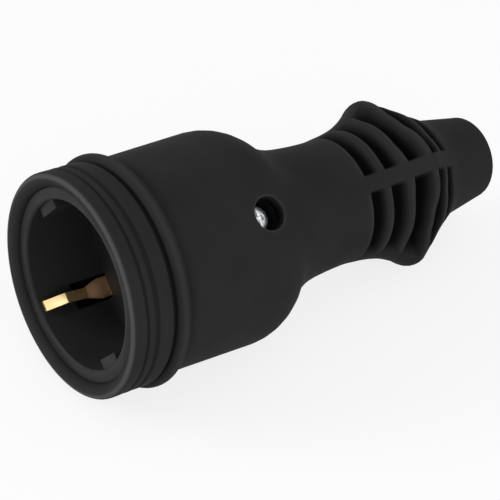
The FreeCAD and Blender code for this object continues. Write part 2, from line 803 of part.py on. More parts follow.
def make_earth_strip():
    strip = new_body("earth_strip")
    thick = cell("strip_thickness")
    root = skirt_radius - cell("strip_gap")
    inner = root - thick
    shoulder, crest = cell("arm_shoulder"), cell("arm_crest_x")
    crest_low = cell("well_radius") - cell("arm_crest_reach")
    tip_low = cell("well_radius") - cell("arm_tip_reach")
    tip = cell("arm_tip_x")
    tab, tab_top = cell("tab_place"), cell("tab_place") + thick
    arm = [(shoulder, root), (crest, crest_low + thick), (tip, tip_low + thick),
           (tip, tip_low), (crest, crest_low), (shoulder, inner)]
    far_arm = [(x, -y) for x, y in reversed(arm)]
    push(strip, "strip", "XY_Plane", cell("strip_width"), [
        [(strip_back, tab), (earth_tab_back, tab), (earth_tab_back, cell("tab_tip")),
         (carrier_back, cell("tab_tip")), (carrier_back, tab_top), (strip_back, tab_top),
         (strip_back, root)] + arm + [(floor_back, inner), (floor_back, -inner)]
        + far_arm + [(strip_back, -root)]], both=True)
    narrow, wide = cell("arm_width") / 2, cell("strip_width") / 2
    curve = cell("arm_shoulder_round")
    front = tip - thick
    trims = [
        [(front, narrow), (shoulder - curve, narrow),
         (shoulder, narrow + curve, curve, ROUND_CCW), (shoulder, wide + thick),
         (front, wide + thick)],
        [(front, -narrow), (front, -wide - thick), (shoulder, -wide - thick),
         (shoulder, -narrow - curve), (shoulder - curve, -narrow, curve, ROUND_CCW)],
    ]
    push(strip, "arms", "XZ_Plane", root * 3, trims, both=True, removes=True)
    push(strip, "thread", "YZ_Plane", thick * 2,
         circles=[(cell("earth_terminal_place"), 0,
                   cell("terminal_thread") + cell("screw_clearance"))],
         offset=carrier_back, removes=True)
    seat(strip, roll=insert_roll)


# Fasteners, each drawn with its head seat at the origin and its head towards +X

def make_screw(label, head, height, thread, length, x, y, z, cross=False, turned=None,
               roll=insert_roll):
    screw = new_body(label)
    crown = cell("crown")
    turn(screw, "shank", [
        (-length, 0),
        (-length, thread),
        (0, thread),
        (0, head),
        (height - crown, head),
        (height, head - crown, crown, ROUND_CCW),
        (height, 0),
    ])
    depth = cell("driver_depth")
    if cross:
        slit, reach = cell("cross_slot") / 2, cell("cross_reach")
        arms = [rectangle(-slit, slit, -reach, reach)]
        push(screw, "driver", "YZ_Plane", depth * 2, arms, offset=height - depth,
             removes=True)
        arms = [rectangle(-reach, reach, -slit, slit)]
        push(screw, "driver_across", "YZ_Plane", depth * 2, arms, offset=height - depth,
             removes=True)
    else:
        slit, reach = cell("driver_slot") / 2, head + past
        push(screw, "driver", "YZ_Plane", depth * 2, [rectangle(-slit, slit, -reach, reach)],
             offset=height - depth, removes=True)
    seat(screw, x, y, z, turned, roll)


def make_plate(label, side, thickness, hole, x, y, z, turned=None, roll=insert_roll):
    plate = new_body(label)
    half = side / 2
    push(plate, "plate", "YZ_Plane", thickness, [rectangle(-half, half, -half, half)],
         circles=[(0, 0, hole)])
    seat(plate, x, y, z, turned, roll)


def make_terminals():
    place = cell("terminal_place")
    earth = cell("earth_terminal_place")
    thread, washer = cell("terminal_thread"), cell("washer_thickness")
    hole = thread + cell("screw_clearance")
    spots = (("left", tongue_back, 0, place), ("right", tongue_back, 0, -place),
             ("earth", earth_tab_back, earth, 0))
    for word, x, y, z in spots:
        make_plate(f"{word}_terminal_washer", cell("washer_side"), washer, hole, x, y, z)
        make_screw(f"{word}_terminal_screw", cell("terminal_head"),
                   cell("terminal_head_height"), thread, cell("terminal_length"),
                   x + washer, y, z)
    make_plate("earth_terminal_nut", cell("nut_side"), cell("nut_thickness"), thread,
               carrier_back - cell("nut_thickness"), earth, 0)


def make_carrier_screws():
    place = post_place
    for word, y, z in (("upper", place, place), ("lower", -place, -place)):
        make_screw(f"{word}_carrier_screw", cell("carrier_head"),
                   cell("carrier_head_height"), cell("carrier_thread"),
                   cell("carrier_screw_length"), carrier_back, y, z)


def make_cable_clamp():
    plate_top = cell("plate_place") + cell("plate_thickness")
    make_screw("clamp_screw", cell("clamp_head"), cell("clamp_head_height"),
               cell("clamp_thread"), seat_radius - plate_top, screw_x, -seat_radius, 0,
               cross=True, turned=HEAD_OUT, roll=cell("roll"))
    nut_top = cell("clamp_nut_place") + cell("nut_thickness")
    make_plate("clamp_nut", cell("nut_side"), cell("nut_thickness"), cell("clamp_thread"),
               screw_x, -nut_top + cell("nut_thickness"), 0, turned=HEAD_OUT,
               roll=cell("roll"))
    plate = new_body("clamp_plate")
    half = cell("yoke_inner") - cell("register_fit")
    low, thick, lip = cell("plate_place"), cell("plate_thickness"), cell("plate_lip")
    push(plate, "plate", "YZ_Plane", cell("plate_length"), [[
        (-low - thick, -half), (-low + lip, -half), (-low + lip, -half + thick),
        (-low, -half + thick), (-low, half - thick), (-low + lip, half - thick),
        (-low + lip, half), (-low - thick, half)]],
         offset=screw_x - cell("plate_length") / 2)
    seat(plate)


make_housing()
make_insert()
make_carrier()
make_contact("left_contact", None)
make_contact("right_contact", HALF_TURN)
make_spring("left_contact_spring", None)
make_spring("right_contact_spring", HALF_TURN)
make_earth_strip()
make_terminals()
make_carrier_screws()
make_cable_clamp()


# Check the document and write one file for each piece

doc.recompute()
for item in doc.Objects:
    if "Invalid" in item.State or "Error" in item.State:
        raise RuntimeError(f"{item.Label} failed: {item.State}")
os.makedirs("parts", exist_ok=True)
for piece in nodes:
    shape = piece.Shape
    if shape.isNull() or not shape.isValid():
        raise RuntimeError(f"{piece.Label} has no valid shape")
    shape.exportStep(os.path.join("parts", f"{piece.Label}.step"))
    print(piece.Label, len(shape.Solids), "solid,", round(shape.Volume, 1), "cubic mm")
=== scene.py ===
# %% [markdown]
# # A rubber inline socket, dressed for its portrait
#
# The object is a black rubber connector: a round socket in front, a waisted
# neck, a slotted hood that lets the cable bend gently, and a short open tail.
# The engineering model gives every piece its true size and place. This lesson
# adds what that model leaves plain: rounded rubber edges, moulded skin, brass
# that shines and a screw that catches the light.

import math

import bmesh
import bpy
from mathutils import Matrix, Vector


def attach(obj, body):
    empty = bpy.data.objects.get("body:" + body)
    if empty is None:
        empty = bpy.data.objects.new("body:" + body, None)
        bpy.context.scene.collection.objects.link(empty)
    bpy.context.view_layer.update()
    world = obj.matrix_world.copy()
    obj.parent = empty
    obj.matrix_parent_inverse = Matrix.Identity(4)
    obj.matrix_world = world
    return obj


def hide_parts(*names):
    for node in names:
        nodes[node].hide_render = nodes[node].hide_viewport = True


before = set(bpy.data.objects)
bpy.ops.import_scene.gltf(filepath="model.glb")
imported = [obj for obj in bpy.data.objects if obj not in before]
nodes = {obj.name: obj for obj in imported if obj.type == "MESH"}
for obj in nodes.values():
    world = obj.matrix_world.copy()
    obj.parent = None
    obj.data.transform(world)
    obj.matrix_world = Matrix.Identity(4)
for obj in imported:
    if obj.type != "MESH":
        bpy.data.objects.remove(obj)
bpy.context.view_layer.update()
MM = 0.001
print("nodes in the frame:", len(nodes))

# %% [markdown]
# ## The camera comes first
#
# A portrait is judged through one lens, so the camera is set before anything
# is dressed. It stands in front of the rim, to the left and above, and it is
# rolled a little because the socket lies with its tail lower than its rim.
# Three directions say how it is turned: its right, its up and its back.

# %% Camera
CAMERA_PLACE = Vector((-173.27, -249.21, 217.73)) * MM
CAMERA_RIGHT = Vector((0.78643, -0.60688, 0.11500))
CAMERA_BACK = Vector((-0.55738, -0.61700, 0.55555))
CAMERA_LENS = 122.4
SENSOR = 36.0


def turned_matrix(place, right, back):
    """A matrix whose columns are right, up and back, made square to each other."""
    back = back.normalized()
    up = back.cross(right).normalized()
    right = up.cross(back)
    return Matrix.Translation(place) @ Matrix((right, up, back)).transposed().to_4x4()


camera_data = bpy.data.cameras.new("portrait_camera")
camera_data.lens = CAMERA_LENS
camera_data.sensor_width = SENSOR
camera_data.clip_start = 0.01
camera = bpy.data.objects.new("portrait_camera", camera_data)
camera.matrix_world = turned_matrix(CAMERA_PLACE, CAMERA_RIGHT, CAMERA_BACK)
bpy.context.scene.collection.objects.link(camera)
bpy.context.scene.camera = camera
bpy.context.scene.view_settings.view_transform = "Standard"
print("camera stands", round(CAMERA_PLACE.length, 3), "m from the rim")

# %% [markdown]
# ## The floor
#
# The socket rests on its bead and on two lobes of the hood. The bead is the
# larger, so the axis slopes down to the tail. The floor is a plane that
# touches both: its slope comes from their two lowest points.

# %% Floor
BEAD_X, BEAD_LOW = 13.0, 27.1
HOOD_X, HOOD_LOW = 93.3, 20.0
FLOOR_SIZE = 6.0


def add_object(name, mesh):
    """Link a mesh to the scene under its own name."""
    made = bpy.data.objects.new(name, mesh)
    bpy.context.scene.collection.objects.link(made)
    return made


def mark_points(mesh, word, strengths):
    """Give a mesh's points an attribute from 0 to 1 that a finish can read."""
    mesh.attributes.new(word, "FLOAT", "POINT").data.foreach_set("value", strengths)


slope = (BEAD_LOW - HOOD_LOW) / (HOOD_X - BEAD_X)
floor_mesh = bpy.data.meshes.new("floor")
half = FLOOR_SIZE / 2
corners = [(x, y, -BEAD_LOW * MM + slope * (x - BEAD_X * MM))
           for x, y in ((-half, -half), (half, -half), (half, half), (-half, half))]
floor_mesh.from_pydata(corners, [], [(0, 1, 2, 3)])
floor = add_object("floor", floor_mesh)
print("floor slopes", round(math.degrees(math.atan(slope)), 2), "degrees under the axis")

# %% [markdown]
# ## Soft studio light
#
# The socket is lit as in a light tent: most of the light comes from all sides,
# so the black rubber has nearly one tone, and only its slots and its well go
# dark. Three weak lamps give the metal and the edges something to reflect. One
# stands in front of the rim, on the far side, where the brass strip mirrors it
# to the camera. One hangs above, and one fills in from the camera's side. The
# level is plain: a dull colour renders about as it is written.
#
# The background is white to the camera and in reflections, and dimmer as a
# source of light, so it doesn't wash the rubber out.

# %% Lamps and world
AMBIENT = 0.53
LIGHT_TARGET = Vector((0.05, 0.0, 0.0))
LAMPS = (("front_lamp", (-0.95, 0.60, 0.40), 0.6, 8.5),
         ("top_lamp", (-0.15, -0.40, 1.20), 1.1, 1.5),
         ("fill_lamp", (-0.30, -1.00, 0.50), 1.0, 5.5))


def add_lamp(name, place, size, power):
    """A square lamp that looks at the object, with its size in metres and power in watts."""
    lamp = bpy.data.lights.new(name, "AREA")
    lamp.size = size
    lamp.energy = power
    holder = bpy.data.objects.new(name, lamp)
    holder.location = place
    holder.rotation_euler = (LIGHT_TARGET - Vector(place)).to_track_quat("-Z", "Y").to_euler()
    bpy.context.scene.collection.objects.link(holder)


for lamp in LAMPS:
    add_lamp(*lamp)


def seen_directly(tree):
    """1 for a ray from the camera, a gloss or a clear piece, and 0 for light's own."""
    path = tree.nodes.new("ShaderNodeLightPath")
    seen = path.outputs["Is Camera Ray"]
    for word in ("Is Glossy Ray", "Is Transmission Ray"):
        larger = tree.nodes.new("ShaderNodeMath")
        larger.operation = "MAXIMUM"
        tree.links.new(seen, larger.inputs[0])
        tree.links.new(path.outputs[word], larger.inputs[1])
        seen = larger.outputs[0]
    return seen


world = bpy.data.worlds.new("studio")
bpy.context.scene.world = world
world.use_nodes = True
tree = world.node_tree
tree.nodes.clear()
dim = tree.nodes.new("ShaderNodeBackground")
dim.inputs["Strength"].default_value = AMBIENT
bright = tree.nodes.new("ShaderNodeBackground")
bright.inputs["Strength"].default_value = 1.0
for background in (dim, bright):
    background.inputs["Color"].default_value = (1.0, 1.0, 1.0, 1.0)
either = tree.nodes.new("ShaderNodeMixShader")
output = tree.nodes.new("ShaderNodeOutputWorld")
tree.links.new(seen_directly(tree), either.inputs["Fac"])
tree.links.new(dim.outputs[0], either.inputs[1])
tree.links.new(bright.outputs[0], either.inputs[2])
tree.links.new(either.outputs[0], output.inputs["Surface"])

# %% [markdown]
# ## Finishes
#
# Every finish is a few nodes: a noise that varies the colour a little, a noise
# that varies the gloss, and a fine bump. A small helper writes those nodes, so
# that each material below only has to say what makes it different. Some meshes
# also carry marks of painted light: where a point is marked with painted shade
# the colour leads over to a darker one, and where it is marked with a painted
# highlight to a lighter one.

# %% A helper for finishes
NOISE_LOW, NOISE_HIGH = 0.3, 0.7


class Finish:
    """One Principled material with its noises read from Object coordinates."""

    def __init__(self, name, color, roughness, metallic=0.0, specular=0.5):
        self.material = bpy.data.materials.new(name)
        self.material.use_nodes = True
        self.tree = self.material.node_tree
        self.shader = self.tree.nodes["Principled BSDF"]
        self.shader.inputs["Base Color"].default_value = (*color, 1.0)
        self.shader.inputs["Roughness"].default_value = roughness
        self.shader.inputs["Metallic"].default_value = metallic
        self.shader.inputs["Specular IOR Level"].default_value = specular
        self.material.diffuse_color = (*color, 1.0)
        self.place = self.tree.nodes.new("ShaderNodeTexCoord").outputs["Object"]

    def noise(self, grain_mm, detail=3.0, stretch=None):
        """A noise whose blotches are about grain_mm across."""
        node = self.tree.nodes.new("ShaderNodeTexNoise")
        node.inputs["Scale"].default_value = 1.0 / (grain_mm * MM)
        node.inputs["Detail"].default_value = detail
        source = self.place
        if stretch is not None:
            mapping = self.tree.nodes.new("ShaderNodeMapping")
            mapping.inputs["Scale"].default_value = stretch
            self.tree.links.new(source, mapping.inputs["Vector"])
            source = mapping.outputs["Vector"]
        self.tree.links.new(source, node.inputs["Vector"])
        return node.outputs["Fac"]

    def between(self, factor, low, high, socket):
        """Drive a socket from low to high, two numbers or two colours."""
        span = self.tree.nodes.new("ShaderNodeMapRange")
        span.inputs["From Min"].default_value = NOISE_LOW
        span.inputs["From Max"].default_value = NOISE_HIGH
        self.tree.links.new(factor, span.inputs["Value"])
        if isinstance(low, tuple):
            mix = self.tree.nodes.new("ShaderNodeMix")
            mix.data_type = "RGBA"
            mix.inputs["A"].default_value = (*low, 1.0)
            mix.inputs["B"].default_value = (*high, 1.0)
            self.tree.links.new(span.outputs["Result"], mix.inputs["Factor"])
            self.tree.links.new(mix.outputs["Result"], self.shader.inputs[socket])
        else:
            span.inputs["To Min"].default_value = low
            span.inputs["To Max"].default_value = high
            self.tree.links.new(span.outputs["Result"], self.shader.inputs[socket])

    def bump(self, factor, height_mm):
        """Raise the surface by up to height_mm where the factor is high."""
        node = self.tree.nodes.new("ShaderNodeBump")
        node.inputs["Strength"].default_value = 1.0
        node.inputs["Distance"].default_value = height_mm * MM
        self.tree.links.new(factor, node.inputs["Height"])
        self.tree.links.new(node.outputs["Normal"], self.shader.inputs["Normal"])

    def marked(self, attribute):
        """How strongly the mesh is marked here, by its attribute from 0 to 1."""
        reader = self.tree.nodes.new("ShaderNodeAttribute")
        reader.attribute_name = attribute
        return reader.outputs["Fac"]

    def along(self, start_mm, end_mm):
        """0 in front of start_mm, 1 behind end_mm, along the part."""
        parts = self.tree.nodes.new("ShaderNodeSeparateXYZ")
        span = self.tree.nodes.new("ShaderNodeMapRange")
        span.inputs["From Min"].default_value = start_mm * MM
        span.inputs["From Max"].default_value = end_mm * MM
        self.tree.links.new(self.place, parts.inputs["Vector"])
        self.tree.links.new(parts.outputs["X"], span.inputs["Value"])
        return span.outputs["Result"]

    def tint(self, factor, color):
        """Lead the base colour over to another one as the factor rises to 1."""
        given = self.shader.inputs["Base Color"].links[0].from_socket
        mix = self.tree.nodes.new("ShaderNodeMix")
        mix.data_type = "RGBA"
        mix.inputs["B"].default_value = (*color, 1.0)
        self.tree.links.new(factor, mix.inputs["Factor"])
        self.tree.links.new(given, mix.inputs["A"])
        self.tree.links.new(mix.outputs["Result"], self.shader.inputs["Base Color"])

    def whiten(self, share):
        """Show the surface as white paper to the camera, with a share of its shadows."""
        white = self.tree.nodes.new("ShaderNodeEmission")
        part = self.tree.nodes.new("ShaderNodeMath")
        part.operation = "MULTIPLY"
        part.inputs[1].default_value = share
        mix = self.tree.nodes.new("ShaderNodeMixShader")
        output = self.tree.nodes["Material Output"]
        self.tree.links.new(seen_directly(self.tree), part.inputs[0])
        self.tree.links.new(part.outputs[0], mix.inputs["Fac"])
        self.tree.links.new(self.shader.outputs["BSDF"], mix.inputs[1])
        self.tree.links.new(white.outputs["Emission"], mix.inputs[2])
        self.tree.links.new(mix.outputs["Shader"], output.inputs["Surface"])


# %% Rubber, plastic, brass, plated steel, nylon, spring steel and paper
PAPER_WHITE = 0.8

# moulded rubber, dull all over, darker in its hollows by painted shade and lighter on its
# edges by painted highlights
rubber = Finish("black_rubber", (0.0220, 0.0220, 0.0222), 0.68, specular=0.02)
rubber.between(rubber.noise(9.0, detail=6.0), (0.0205, 0.0205, 0.0207),
               (0.0235, 0.0235, 0.0237), "Base Color")
rubber.between(rubber.noise(6.0), 0.64, 0.72, "Roughness")
rubber.bump(rubber.noise(0.35, detail=2.0), 0.018)
# painted shade and painted highlights, read from the marks on the mesh
rubber.tint(rubber.marked("painted_shade"), (0.0045, 0.0045, 0.0046))
rubber.tint(rubber.marked("painted_highlight"), (0.0620, 0.0620, 0.0620))

# the insert's plastic, a little glossier than the rubber
plastic = Finish("black_plastic", (0.016, 0.016, 0.0162), 0.50, specular=0.10)
plastic.between(plastic.noise(9.0), (0.0150, 0.0150, 0.0152), (0.0170, 0.0170, 0.0172),
                "Base Color")
plastic.between(plastic.noise(4.0), 0.46, 0.54, "Roughness")
plastic.bump(plastic.noise(0.25, detail=2.0), 0.006)
# painted shade on the floors of the earth slots
plastic.tint(plastic.marked("painted_shade"), (0.002, 0.002, 0.002))

# stamped brass, browner towards its root
brass = Finish("stamped_brass", (0.90, 0.68, 0.34), 0.47, metallic=0.94)
brass.between(brass.noise(5.0, detail=1.0), (0.84, 0.60, 0.27), (0.94, 0.74, 0.40),
              "Base Color")
brass.between(brass.noise(3.0, detail=1.0), 0.42, 0.52, "Roughness")
brass.bump(brass.noise(0.6, detail=1.0, stretch=(1.0, 5.0, 5.0)), 0.002)
brass.tint(brass.along(7.0, 15.0), (0.80, 0.50, 0.27))

# zinc plating, whose uneven skin breaks its reflections up
zinc = Finish("zinc_plating", (0.80, 0.81, 0.82), 0.30, metallic=1.0)
zinc.between(zinc.noise(1.0), (0.70, 0.71, 0.73), (0.90, 0.91, 0.92), "Base Color")
zinc.between(zinc.noise(0.7), 0.34, 0.50, "Roughness")
zinc.bump(zinc.noise(0.9), 0.06)

# the carrier's black nylon, darker still by painted shade for the depth of the side hole
nylon = Finish("nylon_with_painted_shade", (0.006, 0.006, 0.006), 0.55, specular=0.04)
nylon.between(nylon.noise(5.0), (0.0050, 0.0050, 0.0050), (0.0070, 0.0070, 0.0070),
              "Base Color")
nylon.between(nylon.noise(2.0), 0.50, 0.60, "Roughness")
nylon.bump(nylon.noise(0.25, detail=2.0), 0.005)

# spring steel, streaked along the part
spring = Finish("spring_steel", (0.45, 0.45, 0.47), 0.35, metallic=1.0)
spring.between(spring.noise(1.5, stretch=(1.0, 8.0, 8.0)), 0.28, 0.42, "Roughness")
spring.bump(spring.noise(0.6, stretch=(1.0, 8.0, 8.0)), 0.004)

# the studio floor, white paper that keeps a share of the shadow
paper = Finish("studio_floor", (0.94, 0.94, 0.94), 0.9, specular=0.1)
paper.whiten(PAPER_WHITE)
floor.data.materials.append(paper.material)

# %% Give every node of the frame its finish
NODE_FINISH = {"rubber_housing": rubber, "socket_insert": plastic, "contact_carrier": nylon,
               "left_contact": brass, "right_contact": brass, "earth_strip": brass,
               "left_contact_spring": spring, "right_contact_spring": spring}
for name, piece in nodes.items():
    finish = NODE_FINISH.get(name, zinc)
    piece.data.materials.clear()
    piece.data.materials.append(finish.material)

# %% [markdown]
# ## Rounded edges for the stamped and moulded pieces
#
# The engineering model's pieces have sharp edges. Those that the camera sees
# get a copy: its triangles are merged, flat areas are made whole again, and a
# Bevel rounds every edge. The earth strip's arms also widen in one long curve,
# and the floors of the insert's earth slots are marked for painted shade.

# %% Copies with rounded edges
WELL = 19.5
INSERT_TURN = 3.4
KEY_ANGLE = math.radians(45.0 - INSERT_TURN)
KEY_WAY = Vector((0.0, math.cos(KEY_ANGLE), math.sin(KEY_ANGLE)))
EARTH_SLOT_ENDS, EARTH_SLOT_HALF, EARTH_SLOT_DEEP = (10.5, 22.5), 3.3, 0.8
ARM_SHOULDER, SHOULDER_LEAD, SHOULDER_CUTS = (13.4, 18.8), 0.5, 10
ARM_NARROW, ARM_WIDE = 1.2, 2.45
SAME_PLACE = 0.005
SAME_PLANE, BENT_EDGE, HARD_EDGE = (math.radians(angle) for angle in (0.5, 35, 50))


def smooth_step(value):
    """0 below 0, 1 above 1, and a soft curve between."""
    value = min(max(value, 0.0), 1.0)
    return value * value * (3 - 2 * value)


def deep_in_earth_slot(place):
    """Whether a point of the insert lies on the floor of a slot beside an earth arm."""
    across, out = abs(place.dot(KEY_WAY)) / MM, math.hypot(place.y, place.z) / MM
    start, end = EARTH_SLOT_ENDS
    return (start < place.x / MM < end and across < EARTH_SLOT_HALF
            and out > WELL + EARTH_SLOT_DEEP)


def curve_shoulders(net):
    """Let the earth strip's arms widen in one long curve instead of a step.

    Each shoulder is cut across into short lengths first. Half the arm's width stays
    below ARM_NARROW just in front of it, and below ARM_WIDE at its end.
    """
    start, end = ARM_SHOULDER
    for k in range(SHOULDER_CUTS + 1):
        cut = start + (end - start) * k / SHOULDER_CUTS
        bmesh.ops.bisect_plane(net, geom=net.verts[:] + net.edges[:] + net.faces[:],
                               plane_co=(cut * MM, 0, 0), plane_no=(1, 0, 0))
    for vert in net.verts:
        share = (vert.co.x / MM - start) / (end - start)
        across = vert.co.dot(KEY_WAY)
        if -SHOULDER_LEAD < share < 1:
            widest = ARM_NARROW + (ARM_WIDE - ARM_NARROW) * smooth_step(share)
            surplus = max(abs(across) - widest * MM, 0.0)
            vert.co -= KEY_WAY * math.copysign(surplus, across)


def soften_piece(name, finish, width, reshape=None):
    """Stand a copy of a node in for it, with edges rounded by width millimetres."""
    net = bmesh.new()
    net.from_mesh(nodes[name].data)
    bmesh.ops.remove_doubles(net, verts=net.verts, dist=SAME_PLACE * MM)
    bmesh.ops.dissolve_limit(net, angle_limit=SAME_PLANE, verts=net.verts, edges=net.edges)
    if reshape is not None:
        reshape(net)
    mesh = bpy.data.meshes.new(name + "_soft")
    net.to_mesh(mesh)
    net.free()
    piece = add_object(name + "_soft", mesh)
    bevel = piece.modifiers.new("edges", "BEVEL")
    bevel.width = width * MM
    bevel.segments = 2
    bevel.limit_method = "ANGLE"
    bevel.angle_limit = BENT_EDGE
    seen = piece.evaluated_get(bpy.context.evaluated_depsgraph_get())
    mesh = bpy.data.meshes.new_from_object(seen)
    piece.modifiers.clear()
    piece.data = mesh
    mesh.shade_smooth()
    mesh.set_sharp_from_angle(angle=HARD_EDGE)
    mesh.materials.append(finish.material)
    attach(piece, "root")
    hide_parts(name)
    print(name, "faces with rounded edges:", len(mesh.polygons))
    return piece


insert = soften_piece("socket_insert", plastic, 0.3)
# painted shade: the floors of the earth slots beside the arms are marked
mark_points(insert.data, "painted_shade",
            [float(deep_in_earth_slot(vert.co)) for vert in insert.data.vertices])
soften_piece("earth_strip", brass, 0.15, curve_shoulders)
soften_piece("clamp_screw", zinc, 0.08)

# %% [markdown]
# ## The rubber housing
#
# The housing is one moulding. Its two halves are alike, so one half is made
# and Geometry Nodes turn it into the whole. The half is a net of lines. Along
# the part they follow one closed outline, out over the rubber and back through
# the inside. Across it they fan from rib to rib of the hood. The outline's
# corners are those of the engineering model in millimetres, and each sharp one
# is rounded as a moulding is.

# %% A pen that draws outlines
STEP, TURN_STEP, CORNER_SHARE = 2.4, 0.2, 0.45
SHARP = math.radians(16)
CW, CCW = -1, 1


def arc_points(start, end, radius, way):
    """Points on the short arc from start to end, start left out."""
    half_chord = math.dist(start, end) / 2
    rise = math.sqrt(max(radius * radius - half_chord * half_chord, 0.0)) * way
    centre = ((start[0] + end[0]) / 2 - rise * (end[1] - start[1]) / (2 * half_chord),
              (start[1] + end[1]) / 2 + rise * (end[0] - start[0]) / (2 * half_chord))
    first = math.atan2(start[1] - centre[1], start[0] - centre[0])
    turn = 2 * math.asin(min(half_chord / radius, 1.0)) * way
    count = max(4, round(radius * abs(turn) / STEP), round(abs(turn) / TURN_STEP))
    return [(centre[0] + radius * math.cos(first + turn * k / count),
             centre[1] + radius * math.sin(first + turn * k / count))
            for k in range(1, count + 1)]


def line_points(start, end):
    """Points on the straight line from start to end, start left out."""
    count = max(1, round(math.dist(start, end) / STEP))
    return [tuple(a + (b - a) * k / count for a, b in zip(start, end))
            for k in range(1, count + 1)]


def soften(path, index, setback):
    """Points of a curve that cuts the corner path[index] off, a setback from it."""
    corner = path[index]
    ends = []
    for other in (path[index - 1], path[(index + 1) % len(path)]):
        share = min(setback / math.dist(corner, other), CORNER_SHARE)
        ends.append([c + (o - c) * share for c, o in zip(corner, other)])
    return [tuple((1 - t) ** 2 * a + 2 * t * (1 - t) * c + t * t * b
                  for a, c, b in zip(ends[0], corner, ends[1]))
            for t in (0.0, 0.25, 0.5, 0.75, 1.0)]


def traced(corners, setback):
    """Follow corners of (x, r) or (x, r, radius, way) and round what is sharp."""
    path = [corners[0]]
    for corner in corners[1:]:
        if len(corner) == 4:
            path += arc_points(path[-1], corner[:2], *corner[2:])
        else:
            path += line_points(path[-1], corner)
    smooth = []
    for index, point in enumerate(path):
        inner = 0 < index < len(path) - 1
        if inner:
            before, after = path[index - 1], path[index + 1]
            arriving = math.atan2(point[1] - before[1], point[0] - before[0])
            leaving = math.atan2(after[1] - point[1], after[0] - point[0])
            bend = abs(math.remainder(leaving - arriving, math.tau))
        if inner and bend > SHARP:
            smooth += soften(path, index, setback)
        else:
            smooth.append(point)
    return smooth


# %% The outline outside the hood
CAVITY = WELL + 2.9
COLLAR = CAVITY + 3.5
BODY = CAVITY + 3.3
BORE = 6.5
HOOD_START, HOOD_END = 72.0, 109.0
LENGTH = HOOD_END + 12.7
GROOVES, GROOVE_DEPTH, GROOVE_SLOPE = ((3.3, 4.2), (5.6, 6.8)), 0.55, 0.3
CAVITY_SHOULDER = ((45.0, CAVITY), (48.5, CAVITY - 2.4))

# the rim's lip, and the collar with its two grooves
front = [(0.0, COLLAR - 1.4), (0.0, COLLAR - 1.2), (1.2, COLLAR, 1.2, CW)]
for start, end in GROOVES:
    front += [(start, COLLAR), (start + GROOVE_SLOPE, COLLAR - GROOVE_DEPTH),
              (end - GROOVE_SLOPE, COLLAR - GROOVE_DEPTH), (end, COLLAR)]
# the step down to the bead, the bead, the body, its shoulder and the neck
front += [(10.3, COLLAR), (10.6, COLLAR - 1.0), (11.4, COLLAR - 1.0), (11.4, COLLAR - 0.2),
          (14.6, COLLAR - 0.2, 1.614, CW), (15.4, COLLAR - 0.75), (39.8, BODY),
          (50.2, BODY - 4.4, 14.5, CW), (62.0, 16.2, 22.0, CCW),
          (HOOD_START, 15.5, 120.0, CCW)]
# the tail, and back through its bore, the cavity and the ring that holds the insert
back = [(HOOD_END, 12.5), (LENGTH - 1.6, 10.7), (LENGTH, 9.1, 1.6, CW), (LENGTH, BORE),
        (86.0, BORE), (68.0, 12.2), (62.0, 12.2), (54.0, CAVITY - 6.2),
        *reversed(CAVITY_SHOULDER), (14.1, CAVITY), (14.1, CAVITY + 0.9),
        (11.9, CAVITY + 0.9), (11.9, CAVITY), (1.8, CAVITY), (1.2, CAVITY + 0.12),
        (0.0, COLLAR - 1.4)]
front_path = traced(front, 0.35)
back_path = traced(back, 0.4)
print("outline points outside the hood:", len(front_path) + len(back_path))

# %% [markdown]
# ### The hood
#
# Between its ribs the hood's skin is a round valley, and at each rib a lobe
# stands out of it. A lobe is round about an axis of its own, which lies off
# the middle of the part. Five slots are pressed into that skin between the
# ribs. Each has a steep front wall, and a floor that climbs to the next ring.

# %% The hood's skin
LOBE_AXIS, LOBE_BLEND = 9.4, 0.8
FADE_IN, FADE_OUT = 4.0, 3.0
QUARTER = math.pi / 2
valley_path = traced([(HOOD_START, 15.5), (94.9, 19.15, 73.7, CCW), (105.4, 13.7),
                      (HOOD_END, 12.5, 11.4, CCW)], 1.5)
lobe_path = traced([(HOOD_START, 14.6), (76.5, 15.6), (92.8, 21.4, 31.3, CCW),
                    (94.0, 21.3, 1.1, CW), (107.4, 12.9), (HOOD_END, 11.6)], 0.9)


def radius_at(path, x):
    """The radius of an outline at x, for an outline that runs towards +X."""
    for (x0, r0), (x1, r1) in zip(path, path[1:]):
        if x0 <= x <= x1:
            return r0 + (r1 - r0) * (x - x0) / max(x1 - x0, 1e-9)
    return path[-1][1]


def larger_of(a, b, blend):
    """The larger of two radii, with the corner between them rounded off."""
    gap = max(blend - abs(a - b), 0.0)
    return max(a, b) + gap * gap / (4 * blend)


def skin(x, angle):
    """The hood's radius before its slots are pressed in, angle from the first rib."""
    valley, rib = radius_at(valley_path, x), radius_at(lobe_path, x)
    away = abs(math.remainder(angle, QUARTER))
    reach = (rib - LOBE_AXIS) ** 2 - (LOBE_AXIS * math.sin(away)) ** 2
    if reach <= 0:
        return valley
    lobe = LOBE_AXIS * math.cos(away) + math.sqrt(reach)
    fade = smooth_step((x - HOOD_START) / FADE_IN) * smooth_step((HOOD_END - x) / FADE_OUT)
    return valley + (larger_of(valley, lobe, LOBE_BLEND) - valley) * fade


# %% The five slots
WALL = 0.25
FLOOR_SHARE = 0.68
RING_SOFTNESS = 0.9
SLOTS = [(76.0 + 5.95 * k, 3.5, floor) for k, floor in enumerate((12.1, 12.3, 12.8))]
SLOTS += [(93.2 + 5.6 * k, 3.3, floor) for k, floor in enumerate((13.6, 12.4))]


def slot_share(x):
    """How far the skin is pressed towards a floor at x, and that floor."""
    for start, width, floor in SLOTS:
        along = x - start
        if 0 < along < width + RING_SOFTNESS:
            flat = width * FLOOR_SHARE
            climb = smooth_step((along - flat) / (width + RING_SOFTNESS - flat))
            return smooth_step(along / WALL) * (1 - climb), floor
    return 0.0, 0.0
